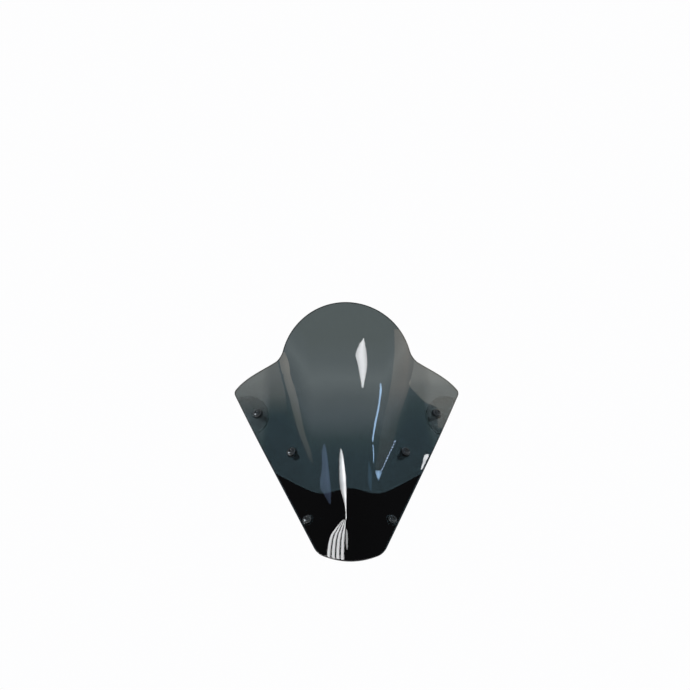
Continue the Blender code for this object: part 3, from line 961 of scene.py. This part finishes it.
# ---- Camera, world, floor and lights ---------------------
def add_camera():
    """At the photograph's viewing angle: almost level and straight in front."""
    turn, rise = radians(CAMERA_TURN), radians(CAMERA_RISE)
    back = Vector((sin(turn) * cos(rise), -cos(turn) * cos(rise), sin(rise)))
    right = Vector((cos(turn), sin(turn), 0))
    aim = SHIFT + CAMERA_ASIDE * right + CAMERA_UP * back.cross(right)
    data = bpy.data.cameras.new("camera")
    data.sensor_width, data.lens = SENSOR_WIDTH, SENSOR_WIDTH * CAMERA_DISTANCE / FRAME_WIDTH
    camera = added("camera", data)
    aimed(camera, aim + CAMERA_DISTANCE * back, "-Z", -back)
    bpy.context.scene.camera = camera


def add_world():
    """A pale horizon, dark overhead so that the film stays black under the gloss."""
    world = bpy.data.worlds.new("studio")
    sky = Nodes(world)
    direction = sky.node("ShaderNodeTexCoord").outputs["Generated"]
    _, _, z = sky.node("ShaderNodeSeparateXYZ", {"Vector": direction}).outputs
    low, high = radians(HORIZON_TOP), radians(HORIZON_TOP + HORIZON_FADE)
    risen = sky.spread(sky.maths("ARCSINE", z), low, high, 0.0, 1.0, interpolation_type="SMOOTHSTEP")
    light = sky.mixed(risen, (*HORIZON, 1), (*ZENITH, 1))
    sky.feed(sky.tree.nodes["Background"].inputs["Color"], light)
    bpy.context.scene.world = world


def add_floor():
    """A pale floor that turns into the horizon's own colour further away, and isn't there from below."""
    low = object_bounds()[0].z
    rings = [0.0] + [FLOOR_NEAR * FLOOR_GROWTH**k for k in range(FLOOR_RINGS)]
    mesh = turned("floor", [(r, 0) for r in rings], FLOOR_SEGMENTS)
    floor = added("studio_floor", mesh)
    floor.location = (0, 0, low - FLOOR_GAP)
    look = Look("studio_floor")
    far = look.spread(look.from_axis(), FLOOR_NEAR, FLOOR_FAR, 0.0, 1.0)
    mottle = look.coloured(look.noise(3, 5), [(0.3, (0.80, 0.80, 0.80)), (0.7, (0.84, 0.84, 0.835))])
    diffuse = look.node("ShaderNodeBsdfDiffuse", {"Color": mottle}).outputs[0]
    glow = look.node("ShaderNodeEmission", {"Color": (*HORIZON, 1)}).outputs[0]
    clear = look.node("ShaderNodeBsdfTransparent").outputs[0]
    under = look.node("ShaderNodeNewGeometry").outputs["Backfacing"]
    above = look.blended("ShaderNodeMixShader", far, diffuse, glow)
    look.end_with(look.blended("ShaderNodeMixShader", under, above, clear))
    mesh.materials.append(look.material)


def lamp(name, place, target, size, radiance, soft=False):
    """An area light that faces a target: a soft one for matt surfaces, any other only for gloss."""
    data = bpy.data.lights.new(name, "AREA")
    data.shape, data.size, data.size_y = "RECTANGLE", *size
    data.energy = 4 * size[0] * size[1] * radiance   # in watts
    made = added(name, data)
    aimed(made, place, "-Z", Vector(target) - Vector(place))
    made.visible_camera = made.visible_transmission = False
    made.visible_glossy = not soft
    made.visible_diffuse = soft


def mirrored_ray(x, z):
    """The face's point at x, z, and the direction in which it mirrors the camera's view."""
    spot, normal = face_point(x, z), face_normal(x, z)
    seen = (spot - bpy.context.scene.camera.location).normalized()
    return spot, seen - 2 * seen.dot(normal) * normal


def in_between(stations, steps=6):
    """A smooth curve through a list of number tuples, with steps points for each."""
    padded = [stations[0]] + list(stations) + [stations[-1]]
    made = []
    for a, b, c, d in zip(padded, padded[1:], padded[2:], padded[3:]):
        for k in range(steps):
            t = k / steps
            made.append([((2 * q) + (r - p) * t + (2 * p - 5 * q + 4 * r - s) * t * t
                          + (3 * q - p - 3 * r + s) * t**3) / 2 for p, q, r, s in zip(a, b, c, d)])
    return made + [list(stations[-1])]


def gloss(name, colour, across, stations):
    """A light whose mirror image, from the camera, is a patch of the screen's face.

    Stations are (height, left, right, brightness) along the patch, in metres on the face, and across is its
    brightness from left to right. The light only adds: others show through it.
    """
    verts, shares = [], []
    for z, left, right, bright in in_between(stations):
        for i, share in enumerate(across):
            spot, direction = mirrored_ray(left + (right - left) * i / (len(across) - 1), z)
            verts.append(spot + GLOSS_GAP * direction)
            shares.append(max(bright, 0) * share)
    wide = len(across)
    faces = [(i, i + 1, i + 1 + wide, i + wide)
             for row in range(0, len(verts) - wide, wide) for i in range(row, row + wide - 1)]
    name = f"gloss_{name}"
    mesh = bpy.data.meshes.new(name)
    mesh.from_pydata(verts, [], faces)
    mesh.attributes.new("glow", "FLOAT", "POINT").data.foreach_set("value", shares)
    made = added(name, mesh)
    look = Look(name)
    glow = look.node("ShaderNodeAttribute", attribute_name="glow").outputs["Fac"]
    shine = look.node("ShaderNodeEmission", {"Color": (*colour, 1), "Strength": glow}).outputs[0]
    clear = look.node("ShaderNodeBsdfTransparent").outputs[0]
    look.end_with(look.blended("ShaderNodeAddShader", shine, clear))
    look.material.cycles.emission_sampling = "NONE"
    mesh.materials.append(look.material)
    made.visible_camera = made.visible_diffuse = made.visible_transmission = made.visible_shadow = False


def add_glosses():
    """The studio's lights and walls as they show on the screen: see gloss()."""
    white, blue, pale_blue, warm = (1.0, 1.0, 1.02), (0.43, 0.67, 1.0), (0.57, 0.71, 1.0), (1.0, 0.86, 0.7)
    gloss("diamond", white, (8, 12, 14, 12, 8),
          [(0.2835, 0.0213, 0.0223, 1), (0.274, 0.015, 0.024, 1), (0.262, 0.011, 0.0255, 1),
           (0.25, 0.0135, 0.0258, 1), (0.238, 0.0155, 0.024, 1), (0.22, 0.0182, 0.02, 1)])
    gloss("streak", white, (6, 11, 14, 22, 26, 13),
          [(0.1425, -0.011, -0.0104, 0.5), (0.135, -0.0122, -0.008, 0.8), (0.12, -0.0128, -0.006, 1),
           (0.105, -0.0128, -0.0046, 1), (0.096, -0.0124, -0.0043, 0.8), (0.088, -0.0112, -0.0042, 0.95),
           (0.078, -0.0084, -0.0045, 1), (0.066, -0.0062, -0.0046, 1), (0.052, -0.006, -0.0046, 1)])
    fan = [(0.052, -0.009, -0.0052), (0.0457, -0.015, -0.0053), (0.039, -0.0205, -0.0056),
           (0.0298, -0.0262, -0.0063), (0.012, -0.0298, -0.007), (-0.002, -0.03, -0.007)]
    blades, blade_share = 4, 0.76
    for k in range(blades):
        start, end = k / blades, (k + blade_share) / blades
        gloss(f"fan_{k}", white, (8, 17, 15, 7),
              [(z, left + (right - left) * start, left + (right - left) * end, 1)
               for z, left, right in fan])
    gloss("fan_side", white, (6, 9, 6),
          [(0.04, -0.0055, -0.0046, 0.8), (0.034, -0.006, -0.0034, 1), (0.022, -0.006, -0.0034, 1),
           (0.014, -0.0052, -0.0038, 0.6)])
    gloss("blue_streak", (0.44, 0.61, 1.0), (1.5, 1.75, 1.8, 2.2, 1.5),
          [(0.148, -0.0322, -0.0312, 1), (0.137, -0.035, -0.0285, 1), (0.118, -0.035, -0.0265, 1),
           (0.103, -0.0375, -0.025, 1), (0.092, -0.0375, -0.024, 0.85), (0.084, -0.033, -0.0238, 0.65),
           (0.072, -0.0262, -0.0245, 0.5)])
    gloss("faint_streak", (0.31, 0.62, 1.0), (0.8, 1.0, 0.8),
          [(0.125, 0.025, 0.0258, 1), (0.11, 0.024, 0.029, 1), (0.097, 0.0245, 0.0285, 1),
           (0.088, 0.0265, 0.028, 1)])
    # Along the flute's inner crease, where it ends, and back up its outer crease
    gloss("crease_upper", blue, (8, 16, 8),
          [(0.226, 0.0412, 0.0428, 0.6), (0.219, 0.0414, 0.044, 1), (0.206, 0.04, 0.0423, 1),
           (0.19, 0.037, 0.0394, 1), (0.173, 0.033, 0.0355, 1), (0.155, 0.03, 0.032, 1),
           (0.151, 0.0304, 0.0314, 0.8)])
    gloss("crease_lower", blue, (8, 16, 8),
          [(0.147, 0.0305, 0.0318, 0.9), (0.129, 0.0308, 0.0323, 0.9), (0.124, 0.0306, 0.0316, 0.3)])
    gloss("crease_end", blue, (6, 12, 6),
          [(0.114, 0.0335, 0.0422, 0.7), (0.111, 0.0338, 0.0416, 1), (0.1065, 0.035, 0.0398, 1),
           (0.1015, 0.0368, 0.038, 0.5)])
    dots = 11
    shares = [k / (2 * dots) for k in range(2 * dots + 1)]
    gloss("crease_outer", pale_blue, (7, 20, 7),
          [(0.1525 - 0.0383 * t, 0.0596 - 0.019 * t, 0.0614 - 0.019 * t, k % 2)
           for k, t in enumerate(shares)])
    gloss("edge", white, (12, 15, 15),
          [(0.1345, 0.099, 0.104, 0.9), (0.131, 0.0972, 0.103, 1), (0.124, 0.0955, 0.0992, 0.8),
           (0.1175, 0.0935, 0.0958, 1), (0.115, 0.093, 0.0945, 0.6)])
    # The studio's walls in the flutes and on the wings
    gloss("flute_left", (1.0, 0.78, 0.6), (0.8, 0.8, 0.8, 0.8, 0.8),
          [(0.2954, 0.062, 0.072, 0.9), (0.279, 0.062, 0.08, 1), (0.264, 0.0615, 0.088, 1),
           (0.25, 0.06, 0.087, 1), (0.234, 0.0575, 0.0835, 0.95), (0.222, 0.0555, 0.0812, 0.98),
           (0.201, 0.051, 0.073, 0.5), (0.18, 0.0455, 0.066, 0.2), (0.155, 0.04, 0.059, 0.28),
           (0.136, 0.037, 0.0515, 0.36), (0.117, 0.0335, 0.041, 0.25), (0.106, 0.036, 0.0365, 0.2)])
    gloss("flute_right", warm, (1, 1, 1),
          [(0.266, -0.087, -0.08, 0.8), (0.252, -0.0868, -0.075, 1.3), (0.235, -0.0828, -0.0728, 1.2),
           (0.219, -0.0782, -0.068, 1.0), (0.203, -0.074, -0.064, 0.85), (0.187, -0.0702, -0.061, 0.8),
           (0.171, -0.0664, -0.058, 0.75), (0.155, -0.0612, -0.054, 0.7), (0.139, -0.055, -0.0488, 0.6),
           (0.131, -0.052, -0.0476, 0.5), (0.1235, -0.0462, -0.0458, 0.4)])
    gloss("wing_left", (1.0, 0.9, 0.76), (1, 1, 1, 1, 1),
          [(0.258, 0.0875, 0.096, 1.2), (0.25, 0.087, 0.113, 1.5), (0.234, 0.0835, 0.133, 1.6),
           (0.222, 0.0812, 0.145, 1.2), (0.2136, 0.0885, 0.149, 1.2), (0.2036, 0.098, 0.147, 1.3),
           (0.199, 0.105, 0.145, 1.25), (0.1945, 0.1155, 0.143, 1.2), (0.187, 0.1165, 0.139, 1.1),
           (0.178, 0.1165, 0.135, 1.0), (0.168, 0.1165, 0.1295, 0.9)])
    gloss("wing_right", warm, (1, 1, 1, 1),
          [(0.258, -0.096, -0.089, 0.75), (0.25, -0.113, -0.0885, 0.75), (0.234, -0.133, -0.085, 0.75),
           (0.222, -0.146, -0.082, 0.7), (0.212, -0.149, -0.08, 0.65), (0.2, -0.146, -0.079, 0.35),
           (0.185, -0.138, -0.078, 0.0)])


def add_lights():
    lamp("overhead", (0, -0.3, 2.6), (0, 0, 0.1), (2.6, 2.6), 3.0, soft=True)
    lamp("front_fill", (-1.2, -3.2, 1.6), (0, 0, 0.15), (1.6, 1.2), 1.0, soft=True)
    lamp("glint", (-2.6, -0.7, 0.12), (0, 0, 0.12), (1.0, 0.8), 40.0)
    add_glosses()


# ---- The scene -------------------------------------------
BODY_OF = {node: body for body, nodes in frame["record"]["behaviour"]["bodies"].items() for node in nodes}

bpy.context.scene.view_settings.view_transform = "Standard"
add_sheet_pieces()
add_fasteners()
add_world()
add_floor()
add_camera()
add_lights()
